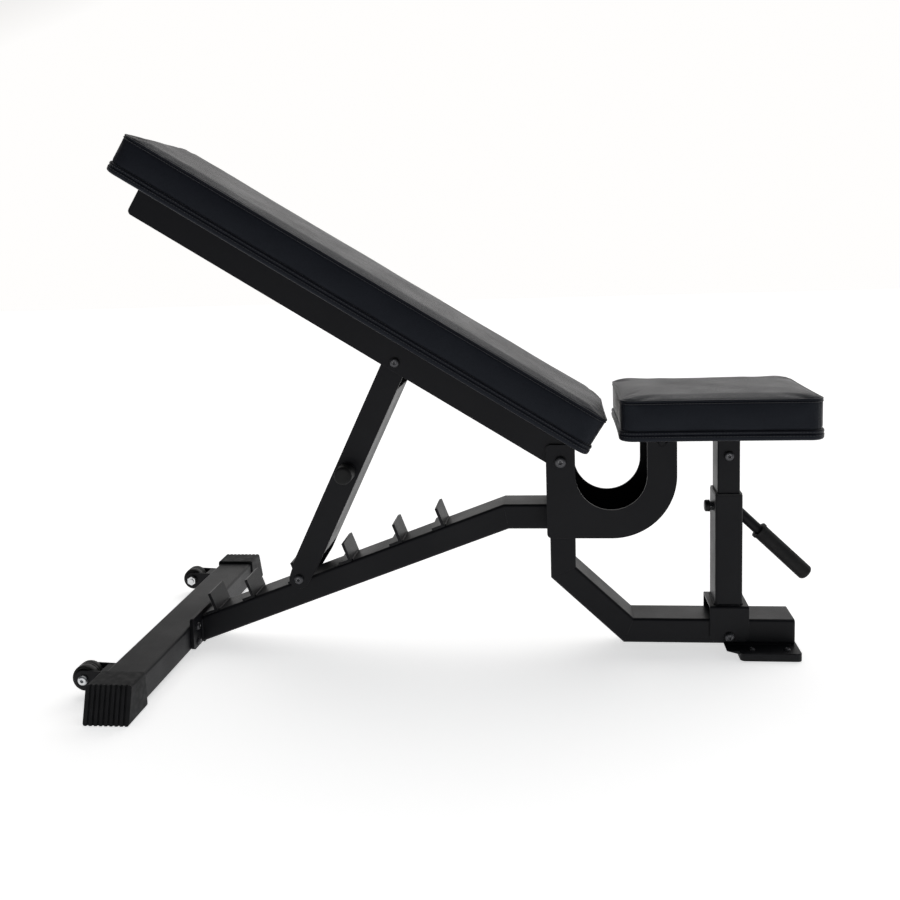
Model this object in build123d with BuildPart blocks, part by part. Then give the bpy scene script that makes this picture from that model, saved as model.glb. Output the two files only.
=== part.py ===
from build123d import *
import os
from math import atan2, cos, degrees, hypot, radians, sin, sqrt, tan

# Adjustable weight bench. +X runs from the head end to the seat end, +Z is up,
# and the bench is symmetric about Y = 0. The origin is the middle of the front
# foot's rubber, on the floor. All sizes are in millimetres.

# Main rectangular tube, and the side view of its run from the ladder to the front foot
tube_w = 70
tube_h = 45
tube_wall = 2.5
tube_r = 5
front_end_x = 45
low_bend_x = -240
post_x = -354
post_low_z = 143
level_z = 245.5
bend_x = -454
spine_end_x = -1028
spine_end_z = 30.89

# Rear foot: cross tube, end flange, rubber caps and tilt wheels
rear_tube_length = 640
rear_tube_z = 30.5
flange_w = 156
flange_low_z = 8
flange_top_z = 66
flange_t = 6
flange_bolt_d = 8
flange_bolt_y = 56
flange_bolt_rows = (17, 46)
cap_sleeve = 70
cap_wall = 3
cap_top_z = 58
cap_end = 26
cap_slant = 20
cap_ribs = 8
rib_w = 3.6
rib_depth = 2.4
wheel_r = 22
wheel_w = 28
wheel_inset = 79
axle_back = 78
axle_z = 34
axle_d = 10
bracket_r = 16
bracket_t = 3

# Front foot
foot_length = 104
foot_width = 150
foot_rubber_t = 8
foot_plate_t = 6
foot_ramp = 22
plug_head = 3

# U bracket that carries the back and seat pivots
pivot_x = -356
pivot_z = 354
pivot_d = 12
arm_w = 50
arc_r = 61
arc_z = 330
bracket_w = 152
plate_t = 4
seat_arm_top_z = 392
back_arm_rise = 30
back_arm_r = 8
strip_inset = 1.5

# Backrest, in its own axes: u runs up the pad from the pivot, v is square to it
back_angle = 32.05
rail_t = 4
rail_low_v = -15
rail_top_v = 41
rail_foot_u = -18
rail_head_u = 870
rail_head_r = 8
cross_plate_t = 4
cross_plates = (("lower", 110), ("middle", 470), ("upper", 790))
cross_plate_l = 90
pad_width = 260
pad_t = 66
pad_corner_r = 30
back_pad_foot_u = -20
back_pad_head_u = 912
board_t = 12
board_inset = 14

# Strut that props the backrest on the ladder
strut_bolt_u = 333
strut_length = 438
strut_gap = 8.5
strut_depth = 44
strut_t = 4
strut_bolt_d = 10
foot_pin_d = 16
foot_bolt_d = 10
foot_end_r = 18
grip_along = 217
grip_d = 32
grip_length = 38
grip_tube_d = 22
notch_step = 12.7
notches_below = 2
notches_above = 3
tooth_t = 5
tooth_h = 36
tooth_flange = 24

# Seat, its pivot and its telescoping post
seat_pivot_z = 386
seat_pin_d = 12
seat_rear_x = -256
seat_front_x = 70
seat_bottom_z = 399
seat_plate_t = 4
seat_plate_w = 122
seat_plate_rear_x = -236
seat_plate_front_x = -20
seat_lug_t = 6
seat_lug_r = 14
seat_post_x = -65
sleeve_x = 47
sleeve_y = 66
sleeve_wall = 2.5
sleeve_top_z = 282
bush_wall = 1.5
bush_length = 16
bush_flange_t = 3
post_wall = 2.5
post_low_end_z = 112
post_top_z = 388
post_bolt_z = 352
post_bolt_d = 10
post_lug_x = 18
post_lug_y = 30
pivot_slot_play = 1.6
saddle_l = 67
saddle_top_z = 84
saddle_low_z = 20
saddle_t = 4
saddle_gap = 0.6
base_bolt_z = 29
base_bolt_d = 10
pin_z = 256
pin_d = 8
pin_travel = 9
pin_nose_gap = 0.4
pin_housing_d = 17
pin_housing_l = 5
knob_d = 21
knob_l = 9
handle_z = 243.5
handle_angle = 44
handle_d = 19
handle_bare = 46
handle_grip_d = 28
handle_grip_l = 116

# Fits and clearances
hole_gap = 0.15
run_gap = 0.05
slide_gap = 0.3
side_gap = 1
contact_gap = 0.3
soft_gap = 0.4

# Derived places
spine_angle = degrees(atan2(level_z - spine_end_z, bend_x - spine_end_x))
tan_spine = tan(radians(spine_angle))
rear_tube_x = spine_end_x - flange_t - tube_w / 2
cap_outer_y = rear_tube_length / 2 + cap_end
wheel_y = rear_tube_length / 2 - wheel_inset
axle_x = rear_tube_x - axle_back
foot_top_z = foot_rubber_t + foot_plate_t
front_z = foot_top_z + tube_h / 2
frame_points = (
    (spine_end_x, spine_end_z),
    (bend_x, level_z),
    (post_x, level_z),
    (post_x, post_low_z),
    (low_bend_x, front_z),
    (front_end_x, front_z),
)
arc_x = pivot_x + arc_r + arm_w / 2
seat_pivot_x = arc_x + arc_r + arm_w / 2
plate_in_y = bracket_w / 2 - plate_t
rail_w = 2 * (plate_in_y - side_gap)
strut_w = rail_w - 2 * (rail_t + strut_gap)
arc_out_r = arc_r + arm_w
back_cos = cos(radians(back_angle))
back_sin = sin(radians(back_angle))


def side(y):
    """The plane at the given Y, drawn in X and Z, that faces -Y."""
    return Plane.XZ.offset(-y)


def back_side(y):
    """The plane at the given Y in the backrest's own u and v, that faces +Y."""
    return Plane(origin=(pivot_x, y, pivot_z), x_dir=(-back_cos, 0, back_sin), z_dir=(0, 1, 0))


def back_face(v):
    """The plane square to v at the given height, with x along u."""
    origin = (pivot_x + v * back_sin, 0, pivot_z + v * back_cos)
    return Plane(origin=origin, x_dir=(-back_cos, 0, back_sin), z_dir=(back_sin, 0, back_cos))


# The ladder's top line starts where the spine's top meets the level tube's top.
spine_dir = (-cos(radians(spine_angle)), -sin(radians(spine_angle)))
spine_up = (-sin(radians(spine_angle)), cos(radians(spine_angle)))
ladder_start_x = bend_x - tube_h / 2 * tan(radians(spine_angle) / 2)
ladder_start_z = level_z + tube_h / 2
pin_lift = foot_pin_d / 2 + contact_gap


def strut_top(angle):
    """Where the strut's top bolt is, in X and Z, with the back at this angle."""
    a = radians(angle)
    return pivot_x - strut_bolt_u * cos(a), pivot_z + strut_bolt_u * sin(a)


def notch_station(angle):
    """How far down the ladder the foot pin rests, with the back at this angle."""
    top_x, top_z = strut_top(angle)
    rel_x = ladder_start_x + pin_lift * spine_up[0] - top_x
    rel_z = ladder_start_z + pin_lift * spine_up[1] - top_z
    along = rel_x * spine_dir[0] + rel_z * spine_dir[1]
    across = rel_x * spine_up[0] + rel_z * spine_up[1]
    return sqrt(strut_length**2 - across**2) - along


def on_ladder(station, lift):
    """The point in X and Z at this distance down the ladder and this height above it."""
    x = ladder_start_x + station * spine_dir[0] + lift * spine_up[0]
    z = ladder_start_z + station * spine_dir[1] + lift * spine_up[1]
    return x, z


strut_top_x, strut_top_z = strut_top(back_angle)
foot_pin_x, foot_pin_z = on_ladder(notch_station(back_angle), pin_lift)
strut_dir = (
    (foot_pin_x - strut_top_x) / strut_length,
    (foot_pin_z - strut_top_z) / strut_length,
)


def strut_side(y):
    """The plane at the given Y with x down the strut from its top bolt, facing +Y."""
    return Plane(
        origin=(strut_top_x, y, strut_top_z),
        x_dir=(strut_dir[0], 0, strut_dir[1]),
        z_dir=(0, 1, 0),
    )


def tube_run(start, end, start_cut, end_cut):
    """One straight run of the main tube, cut at each end square to the given direction."""
    length = hypot(end[0] - start[0], end[1] - start[1])
    axis = ((end[0] - start[0]) / length, 0, (end[1] - start[1]) / length)
    section = Plane(origin=(start[0], 0, start[1]), x_dir=(0, 1, 0), z_dir=axis)
    with BuildPart() as run:
        with BuildSketch(section.offset(-tube_h)):
            RectangleRounded(tube_w, tube_h, tube_r)
            RectangleRounded(
                tube_w - 2 * tube_wall,
                tube_h - 2 * tube_wall,
                tube_r - tube_wall,
                mode=Mode.SUBTRACT,
            )
        extrude(amount=length + 2 * tube_h)
        split(bisect_by=Plane(origin=(start[0], 0, start[1]), z_dir=start_cut), keep=Keep.TOP)
        split(bisect_by=Plane(origin=(end[0], 0, end[1]), z_dir=end_cut), keep=Keep.BOTTOM)
    return run.part


def screw(seat, d, length):
    """A button-head socket screw; seat is the plane under its head, facing outwards."""
    head_h = 0.55 * d
    with BuildPart() as body:
        with BuildSketch(seat):
            Circle(0.85 * d)
        extrude(amount=head_h)
        out = Axis(seat.origin, seat.z_dir)
        fillet(body.faces().sort_by(out)[-1].edges(), 0.4 * d)
        with BuildSketch(seat.offset(head_h)):
            RegularPolygon(0.33 * d, 6)
        extrude(amount=-0.35 * d, mode=Mode.SUBTRACT)
        with BuildSketch(seat):
            Circle(d / 2)
        extrude(amount=-length)
    return body.part


def nut(seat, d):
    """A hexagon nut whose bearing face is on the seat plane, which faces outwards."""
    with BuildPart() as body:
        with BuildSketch(seat):
            RegularPolygon(0.95 * d, 6)
            Circle(d / 2 + run_gap, mode=Mode.SUBTRACT)
        extrude(amount=0.8 * d)
    return body.part


def through_bolt(x, z, half_grip, d, head_side=-1):
    """A screw and its nut clamped across Y, from one outer face to the other."""
    head_seat = Plane(origin=(x, head_side * half_grip, z), z_dir=(0, head_side, 0))
    nut_seat = Plane(origin=(x, -head_side * half_grip, z), z_dir=(0, -head_side, 0))
    return [screw(head_seat, d, 2 * half_grip + d), nut(nut_seat, d)]


os.makedirs("parts", exist_ok=True)


# --- Main frame: five mitred runs of rectangular tube ---------------------------------

run_names = ("spine_tube", "level_tube", "post_tube", "diagonal_tube", "front_tube")
run_dirs = []
for start, end in zip(frame_points[:-1], frame_points[1:]):
    length = hypot(end[0] - start[0], end[1] - start[1])
    run_dirs.append(Vector((end[0] - start[0]) / length, 0, (end[1] - start[1]) / length))
cuts = [Vector(1, 0, 0)]
for before, after in zip(run_dirs[:-1], run_dirs[1:]):
    cuts.append((before + after).normalized())
cuts.append(Vector(1, 0, 0))

runs = {}
for i, name in enumerate(run_names):
    runs[name] = tube_run(frame_points[i], frame_points[i + 1], cuts[i], cuts[i + 1])

for name in ("spine_tube", "level_tube", "post_tube", "diagonal_tube"):
    runs[name].label = name
    export_step(runs[name], f"parts/{name}.step")

# The saddle's bolt crosses the front tube.
with BuildPart() as front_tube:
    add(runs["front_tube"])
    with BuildSketch(side(0)):
        with Locations((seat_post_x, base_bolt_z)):
            Circle(base_bolt_d / 2 + hole_gap)
    extrude(amount=tube_w, both=True, mode=Mode.SUBTRACT)
front_tube.part.label = "front_tube"
export_step(front_tube.part, "parts/front_tube.step")

with BuildPart() as front_plug:
    with BuildSketch(Plane.YZ.offset(front_end_x)):
        with Locations((0, front_z)):
            RectangleRounded(tube_w, tube_h, tube_r)
    extrude(amount=plug_head)
    fillet(front_plug.faces().sort_by(Axis.X)[-1].edges(), 1.2)
    with BuildSketch(Plane.YZ.offset(front_end_x)):
        with Locations((0, front_z)):
            RectangleRounded(
                tube_w - 2 * tube_wall - 2 * soft_gap,
                tube_h - 2 * tube_wall - 2 * soft_gap,
                tube_r - tube_wall,
            )
    extrude(amount=-18)
front_plug.part.label = "front_plug"
export_step(front_plug.part, "parts/front_plug.step")


# --- Ladder teeth: an upright and a foot flange, one for each back angle ---------------

with BuildPart() as ladder_teeth:
    for step in range(-notches_below, notches_above + 1):
        station = notch_station(back_angle + step * notch_step) + foot_pin_d / 2 + contact_gap
        x, z = on_ladder(station, 0)
        base = Plane(
            origin=(x, 0, z),
            x_dir=(spine_dir[0], 0, spine_dir[1]),
            z_dir=(0, 1, 0),
        )
        with BuildSketch(base):
            with Locations((0, 0)):
                Rectangle(tooth_t, tooth_h, align=(Align.MIN, Align.MIN))
                Rectangle(tooth_flange, tooth_t, align=(Align.MIN, Align.MIN))
        extrude(amount=tube_w / 2, both=True)
    fillet(ladder_teeth.edges().filter_by(lambda e: abs(e.length - tooth_t) < 0.01), 1.5)
ladder_teeth.part.label = "ladder_teeth"
export_step(ladder_teeth.part, "parts/ladder_teeth.step")


# --- Rear foot -------------------------------------------------------------------------

flange_bolt_points = [(y, z) for z in flange_bolt_rows for y in (-flange_bolt_y, flange_bolt_y)]

with BuildPart() as rear_tube:
    with BuildSketch(side(0)):
        with Locations((rear_tube_x, rear_tube_z)):
            RectangleRounded(tube_w, tube_h, tube_r)
            RectangleRounded(
                tube_w - 2 * tube_wall,
                tube_h - 2 * tube_wall,
                tube_r - tube_wall,
                mode=Mode.SUBTRACT,
            )
    extrude(amount=rear_tube_length / 2, both=True)
    with BuildSketch(Plane.YZ.offset(rear_tube_x)):
        with Locations(*flange_bolt_points):
            Circle(flange_bolt_d / 2 + hole_gap)
    extrude(amount=tube_w, mode=Mode.SUBTRACT)
rear_tube.part.label = "rear_tube"
export_step(rear_tube.part, "parts/rear_tube.step")

with BuildPart() as end_flange:
    with BuildSketch(Plane.YZ.offset(spine_end_x - flange_t)):
        with Locations((0, (flange_low_z + flange_top_z) / 2)):
            RectangleRounded(flange_w, flange_top_z - flange_low_z, 6)
        with Locations(*flange_bolt_points):
            Circle(flange_bolt_d / 2 + hole_gap, mode=Mode.SUBTRACT)
    extrude(amount=flange_t)
end_flange.part.label = "end_flange"
export_step(end_flange.part, "parts/end_flange.step")

flange_screws = []
for y, z in flange_bolt_points:
    flange_screws.append(screw(Plane(origin=(spine_end_x, y, z), z_dir=(1, 0, 0)), flange_bolt_d, 16))
with BuildPart() as flange_bolts:
    add(flange_screws)
flange_bolts.part.label = "flange_bolts"
export_step(flange_bolts.part, "parts/flange_bolts.step")

cap_w = tube_w + 2 * cap_wall
rib_pitch = cap_w / (cap_ribs + 1)
for sign, name in ((1, "rear_cap_left"), (-1, "rear_cap_right")):
    with BuildPart() as rear_cap:
        with BuildSketch(Plane.YZ.offset(rear_tube_x - cap_w / 2)):
            with BuildLine():
                Polyline(
                    (sign * (cap_outer_y - cap_sleeve), 0),
                    (sign * cap_outer_y, 0),
                    (sign * (cap_outer_y - cap_slant), cap_top_z),
                    (sign * (cap_outer_y - cap_sleeve), cap_top_z),
                    close=True,
                )
            make_face()
        extrude(amount=cap_w)
        fillet(rear_cap.edges().filter_by(lambda e: abs(e.tangent_at(0.5).Y) > 0.9), 4)
        with BuildSketch(side(sign * rear_tube_length / 2)):
            with Locations((rear_tube_x, rear_tube_z)):
                RectangleRounded(tube_w + 2 * hole_gap, tube_h + 2 * hole_gap, tube_r)
        extrude(amount=sign * rear_tube_length / 2, mode=Mode.SUBTRACT)
        slant = Plane(
            origin=(rear_tube_x, sign * (cap_outer_y - cap_slant / 2), cap_top_z / 2),
            x_dir=(1, 0, 0),
            z_dir=(0, sign * cap_top_z, cap_slant),
        )
        with BuildSketch(slant):
            with GridLocations(rib_pitch, 0, cap_ribs, 1):
                Rectangle(rib_w, 2 * cap_top_z)
        extrude(amount=-rib_depth, mode=Mode.SUBTRACT)
    rear_cap.part.label = name
    export_step(rear_cap.part, f"parts/{name}.step")

rear_face_x = rear_tube_x - tube_w / 2
bracket_half = wheel_w / 2 + side_gap + bracket_t
with BuildPart() as wheel_brackets:
    for centre_y in (-wheel_y, wheel_y):
        for y in (centre_y - bracket_half, centre_y + bracket_half - bracket_t):
            with BuildSketch(side(y)):
                with Locations((axle_x, axle_z)):
                    Circle(bracket_r)
                with Locations((rear_face_x, rear_tube_z)):
                    Rectangle(2, tube_h - 2 * tube_r, align=(Align.MAX, Align.CENTER))
                make_hull()
                with Locations((axle_x, axle_z)):
                    Circle(axle_d / 2 + hole_gap, mode=Mode.SUBTRACT)
            extrude(amount=-bracket_t)
        with BuildSketch(side(centre_y)):
            with Locations((rear_face_x, rear_tube_z + tube_h / 2 - tube_r)):
                Rectangle(14, bracket_t, align=(Align.MAX, Align.MAX))
        extrude(amount=bracket_half, both=True)
wheel_brackets.part.label = "wheel_brackets"
export_step(wheel_brackets.part, "parts/wheel_brackets.step")

axle_pieces = []
for sign in (1, -1):
    outer_y = sign * (wheel_y + bracket_half)
    inner_y = sign * (wheel_y - bracket_half)
    outer = Plane(origin=(axle_x, outer_y, axle_z), z_dir=(0, sign, 0))
    inner = Plane(origin=(axle_x, inner_y, axle_z), z_dir=(0, -sign, 0))
    axle_pieces.append(screw(outer, axle_d, 2 * bracket_half + axle_d))
    axle_pieces.append(nut(inner, axle_d))
with BuildPart() as wheel_axles:
    add(axle_pieces)
wheel_axles.part.label = "wheel_axles"
export_step(wheel_axles.part, "parts/wheel_axles.step")

for sign, name in ((1, "wheel_left"), (-1, "wheel_right")):
    with BuildPart() as wheel:
        with BuildSketch(side(sign * wheel_y)):
            with Locations((axle_x, axle_z)):
                Circle(wheel_r)
        extrude(amount=wheel_w / 2, both=True)
        fillet(wheel.edges(), 3)
        with BuildSketch(side(sign * wheel_y)):
            with Locations((axle_x, axle_z)):
                Circle(axle_d / 2 + run_gap)
        extrude(amount=wheel_w, both=True, mode=Mode.SUBTRACT)
    wheel.part.label = name
    export_step(wheel.part, f"parts/{name}.step")


# --- Front foot ------------------------------------------------------------------------

with BuildPart() as foot_rubber:
    with BuildSketch():
        RectangleRounded(foot_length, foot_width, 8)
    extrude(amount=foot_rubber_t)
foot_rubber.part.label = "foot_rubber"
export_step(foot_rubber.part, "parts/foot_rubber.step")

with BuildPart() as foot_plate:
    with BuildSketch(Plane.XY.offset(foot_rubber_t)):
        RectangleRounded(foot_length, foot_width, 8)
        with GridLocations(foot_length - 44, foot_width - 34, 2, 2):
            Circle(3 + hole_gap, mode=Mode.SUBTRACT)
    extrude(amount=foot_plate_t)
    fillet(foot_plate.faces().sort_by(Axis.Z)[-1].outer_wire().edges(), 1.5)
    with BuildSketch(side(0)):
        with BuildLine():
            Polyline(
                (1 - foot_length / 2, foot_rubber_t),
                (1 - foot_length / 2, foot_top_z),
                (-foot_length / 2 - foot_ramp, foot_top_z),
                close=True,
            )
        make_face()
    extrude(amount=foot_width / 2 - 9, both=True)
foot_plate.part.label = "foot_plate"
export_step(foot_plate.part, "parts/foot_plate.step")

plate_screws = []
for spot in GridLocations(foot_length - 44, foot_width - 34, 2, 2).locations:
    origin = (spot.position.X, spot.position.Y, foot_top_z)
    plate_screws.append(screw(Plane(origin=origin, z_dir=(0, 0, 1)), 6, foot_plate_t - soft_gap))
with BuildPart() as foot_screws:
    add(plate_screws)
foot_screws.part.label = "foot_screws"
export_step(foot_screws.part, "parts/foot_screws.step")


# --- U bracket: two side plates and the curved strip round their outside ---------------

u_left_x = pivot_x - arm_w / 2
u_low_z = arc_z - arc_out_r
back_arm_top_z = pivot_z + back_arm_rise
seat_arm_top_h = seat_arm_top_z - arc_z
for sign, name in ((1, "u_plate_left"), (-1, "u_plate_right")):
    with BuildPart() as u_plate:
        with BuildSketch(side(sign * plate_in_y)):
            with Locations((arc_x, arc_z)):
                Circle(arc_out_r)
            with Locations((u_left_x, u_low_z)):
                Rectangle(arc_out_r, arc_out_r, align=(Align.MIN, Align.MIN))
            with Locations((arc_x, arc_z)):
                Rectangle(2 * arc_out_r, arc_out_r, align=(Align.CENTER, Align.MIN), mode=Mode.SUBTRACT)
            with Locations((u_left_x, arc_z)):
                Rectangle(arm_w, back_arm_top_z - arc_z, align=(Align.MIN, Align.MIN))
            with Locations((seat_pivot_x, arc_z)):
                Rectangle(arm_w, seat_arm_top_h, align=(Align.CENTER, Align.MIN))
            with Locations((arc_x, arc_z)):
                Circle(arc_r, mode=Mode.SUBTRACT)
            with Locations((pivot_x, pivot_z)):
                Circle(pivot_d / 2 + hole_gap, mode=Mode.SUBTRACT)
            with Locations((seat_pivot_x, seat_pivot_z)):
                Circle(seat_pin_d / 2 + run_gap, mode=Mode.SUBTRACT)
        extrude(amount=-sign * plate_t)
        fillet(u_plate.edges().filter_by(Axis.Y).sort_by(Axis.Z)[-2:], 18)
        for corner_x, corner_z in (
            (u_left_x, u_low_z),
            (u_left_x, back_arm_top_z),
            (u_left_x + arm_w, back_arm_top_z),
        ):
            corner = (corner_x, sign * plate_in_y, corner_z)
            fillet(u_plate.edges().filter_by(Axis.Y).sort_by_distance(corner)[0], back_arm_r)
    u_plate.part.label = name
    export_step(u_plate.part, f"parts/{name}.step")

# The strip follows the plates' outer edge between them, a little inside it.
strip_w = plate_in_y - hole_gap
outer_r = arc_out_r - strip_inset
with BuildPart() as u_outer_strip:
    with BuildSketch(side(0)):
        with Locations((arc_x, arc_z)):
            Circle(outer_r)
            Circle(outer_r - plate_t, mode=Mode.SUBTRACT)
            Rectangle(2 * arc_out_r, arc_out_r, align=(Align.CENTER, Align.MIN), mode=Mode.SUBTRACT)
            Rectangle(arc_out_r, 2 * arc_out_r, align=(Align.MAX, Align.CENTER), mode=Mode.SUBTRACT)
        with Locations((arc_x + outer_r, arc_z)):
            Rectangle(plate_t, seat_arm_top_h - 12, align=(Align.MAX, Align.MIN))
        with Locations((post_x + tube_h / 2 + hole_gap, arc_z - outer_r)):
            Rectangle(arc_x - post_x - tube_h / 2 - hole_gap, plate_t, align=(Align.MIN, Align.MIN))
    extrude(amount=strip_w, both=True)
u_outer_strip.part.label = "u_outer_strip"
export_step(u_outer_strip.part, "parts/u_outer_strip.step")

# A strip above the level tube and a gusset each side of it close the bracket's rear.
gusset_t = plate_in_y - tube_w / 2 - 2 * hole_gap
with BuildPart() as u_fillers:
    with BuildSketch(side(0)):
        with Locations((u_left_x + strip_inset, level_z + tube_h / 2 + hole_gap)):
            Rectangle(plate_t, 50, align=(Align.MIN, Align.MIN))
    extrude(amount=strip_w, both=True)
    for sign in (1, -1):
        with BuildSketch(side(sign * (tube_w / 2 + hole_gap))):
            with Locations((u_left_x + strip_inset, level_z - tube_h / 2 + 2)):
                Rectangle(arm_w - 2 * strip_inset, tube_h - 4, align=(Align.MIN, Align.MIN))
        extrude(amount=-sign * gusset_t)
u_fillers.part.label = "u_fillers"
export_step(u_fillers.part, "parts/u_fillers.step")

pivot_pieces = through_bolt(pivot_x, pivot_z, bracket_w / 2, pivot_d)
with BuildPart() as back_pivot_bolt:
    add(pivot_pieces)
back_pivot_bolt.part.label = "back_pivot_bolt"
export_step(back_pivot_bolt.part, "parts/back_pivot_bolt.step")


# --- Backrest frame --------------------------------------------------------------------

rail_in_y = rail_w / 2 - rail_t
for sign, name in ((1, "back_rail_left"), (-1, "back_rail_right")):
    with BuildPart() as back_rail:
        with BuildSketch(back_side(sign * rail_in_y)):
            with BuildLine():
                Polyline(
                    (rail_foot_u, rail_low_v),
                    (rail_head_u, rail_low_v),
                    (rail_head_u, rail_top_v),
                    (-rail_foot_u, rail_top_v),
                    (rail_foot_u, -rail_low_v),
                    close=True,
                )
            make_face()
            Circle(pivot_d / 2 + run_gap, mode=Mode.SUBTRACT)
            with Locations((strut_bolt_u, 0)):
                Circle(strut_bolt_d / 2 + hole_gap, mode=Mode.SUBTRACT)
        extrude(amount=sign * rail_t)
        for corner_u, corner_r in ((rail_foot_u, 12), (rail_head_u, rail_head_r)):
            corner = back_side(sign * rail_in_y).from_local_coords((corner_u, rail_low_v, 0))
            fillet(back_rail.edges().filter_by(Axis.Y).sort_by_distance(corner)[0], corner_r)
    back_rail.part.label = name
    export_step(back_rail.part, f"parts/{name}.step")

with BuildPart() as back_pivot_tube:
    with BuildSketch(back_side(0)):
        Circle(pivot_d / 2 + 5)
        Circle(pivot_d / 2 + run_gap, mode=Mode.SUBTRACT)
    extrude(amount=rail_in_y, both=True)
back_pivot_tube.part.label = "back_pivot_tube"
export_step(back_pivot_tube.part, "parts/back_pivot_tube.step")

cross_face = back_face(rail_top_v - cross_plate_t)
board_face = back_face(rail_top_v)
back_screw_y = rail_in_y - 22
for name, u in cross_plates:
    with BuildPart() as cross_plate:
        with BuildSketch(cross_face):
            with Locations((u, 0)):
                Rectangle(cross_plate_l, 2 * rail_in_y)
                with GridLocations(0, 2 * back_screw_y, 1, 2):
                    Circle(4 + hole_gap, mode=Mode.SUBTRACT)
        extrude(amount=cross_plate_t)
    cross_plate.part.label = f"back_plate_{name}"
    export_step(cross_plate.part, f"parts/back_plate_{name}.step")

board_screws = []
for name, u in cross_plates:
    for y in (-back_screw_y, back_screw_y):
        origin = cross_face.from_local_coords((u, y, 0))
        board_screws.append(screw(Plane(origin=origin, z_dir=-cross_face.z_dir), 8, 13))
with BuildPart() as back_screws:
    add(board_screws)
back_screws.part.label = "back_screws"
export_step(back_screws.part, "parts/back_screws.step")

# The pad wraps the board, which lies in a pocket flush with the pad's underside.
back_pad_l = back_pad_head_u - back_pad_foot_u
back_pad_mid = (back_pad_head_u + back_pad_foot_u) / 2
back_screw_points = [(u, y) for name, u in cross_plates for y in (-back_screw_y, back_screw_y)]
with BuildPart() as back_board:
    with BuildSketch(board_face):
        with Locations((back_pad_mid, 0)):
            RectangleRounded(back_pad_l - 2 * board_inset, pad_width - 2 * board_inset, 24)
        with Locations(*back_screw_points):
            Circle(4 + hole_gap, mode=Mode.SUBTRACT)
    extrude(amount=board_t)
back_board.part.label = "back_board"
export_step(back_board.part, "parts/back_board.step")

with BuildPart() as back_pad:
    with BuildSketch(board_face):
        with Locations((back_pad_mid, 0)):
            RectangleRounded(back_pad_l, pad_width, pad_corner_r)
    extrude(amount=pad_t)
    with BuildSketch(back_side(0)):
        with Locations((back_pad_mid, rail_top_v + pad_t / 2)):
            pad_profile = Rectangle(back_pad_l, pad_t)
        fillet(pad_profile.vertices().group_by(Axis.Y)[0], 8)
        fillet(pad_profile.vertices().group_by(Axis.Y)[-1], 20)
    extrude(amount=pad_width, both=True, mode=Mode.INTERSECT)
    with BuildSketch(board_face):
        with Locations((back_pad_mid, 0)):
            RectangleRounded(
                back_pad_l - 2 * board_inset + 2 * soft_gap,
                pad_width - 2 * board_inset + 2 * soft_gap,
                24 + soft_gap,
            )
    extrude(amount=board_t + soft_gap, mode=Mode.SUBTRACT)
back_pad.part.label = "back_pad"
export_step(back_pad.part, "parts/back_pad.step")


# --- Strut -----------------------------------------------------------------------------

strut_in_y = strut_w / 2 - strut_t
for sign, name in ((1, "strut_plate_left"), (-1, "strut_plate_right")):
    with BuildPart() as strut_plate:
        with BuildSketch(strut_side(sign * strut_in_y)):
            Circle(strut_depth / 2)
            with Locations((strut_length, 0)):
                Circle(foot_end_r)
            with Locations((0, 0)):
                Rectangle(strut_length - 2 * foot_end_r, strut_depth, align=(Align.MIN, Align.CENTER))
            make_hull()
            Circle(strut_bolt_d / 2 + run_gap, mode=Mode.SUBTRACT)
            with Locations((strut_length, 0)):
                Circle(foot_bolt_d / 2 + hole_gap, mode=Mode.SUBTRACT)
            with Locations((grip_along, 0)):
                Circle(grip_tube_d / 2 + hole_gap, mode=Mode.SUBTRACT)
        extrude(amount=sign * strut_t)
    strut_plate.part.label = name
    export_step(strut_plate.part, f"parts/{name}.step")

web_start = strut_depth
web_end = strut_length - 62
with BuildPart() as strut_web:
    with BuildSketch(strut_side(0)):
        with Locations((web_start, -strut_depth / 2)):
            Rectangle(web_end - web_start, strut_t, align=(Align.MIN, Align.MIN))
    extrude(amount=strut_in_y - hole_gap, both=True)
strut_web.part.label = "strut_web"
export_step(strut_web.part, "parts/strut_web.step")

# Two spacers on the top bolt keep the strut in the middle of the rails.
strut_pieces = through_bolt(strut_top_x, strut_top_z, rail_w / 2, strut_bolt_d)
with BuildPart() as strut_bolt:
    add(strut_pieces)
    for sign in (1, -1):
        with BuildSketch(strut_side(sign * (strut_w / 2 + contact_gap))):
            Circle(strut_bolt_d / 2 + 4)
            Circle(strut_bolt_d / 2 + run_gap, mode=Mode.SUBTRACT)
        extrude(amount=sign * (rail_in_y - strut_w / 2 - contact_gap))
strut_bolt.part.label = "strut_bolt"
export_step(strut_bolt.part, "parts/strut_bolt.step")

with BuildPart() as foot_pin:
    with BuildSketch(strut_side(0)):
        with Locations((strut_length, 0)):
            Circle(foot_pin_d / 2)
            Circle(foot_bolt_d / 2 + run_gap, mode=Mode.SUBTRACT)
    extrude(amount=strut_in_y, both=True)
foot_pin.part.label = "foot_pin"
export_step(foot_pin.part, "parts/foot_pin.step")

foot_pieces = through_bolt(foot_pin_x, foot_pin_z, strut_w / 2, foot_bolt_d)
with BuildPart() as foot_bolt:
    add(foot_pieces)
foot_bolt.part.label = "foot_bolt"
export_step(foot_bolt.part, "parts/foot_bolt.step")

with BuildPart() as grip_tube:
    with BuildSketch(strut_side(0)):
        with Locations((grip_along, 0)):
            Circle(grip_tube_d / 2)
            Circle(grip_tube_d / 2 - 2, mode=Mode.SUBTRACT)
    extrude(amount=strut_w / 2 + grip_length - 5, both=True)
grip_tube.part.label = "grip_tube"
export_step(grip_tube.part, "parts/grip_tube.step")

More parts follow.
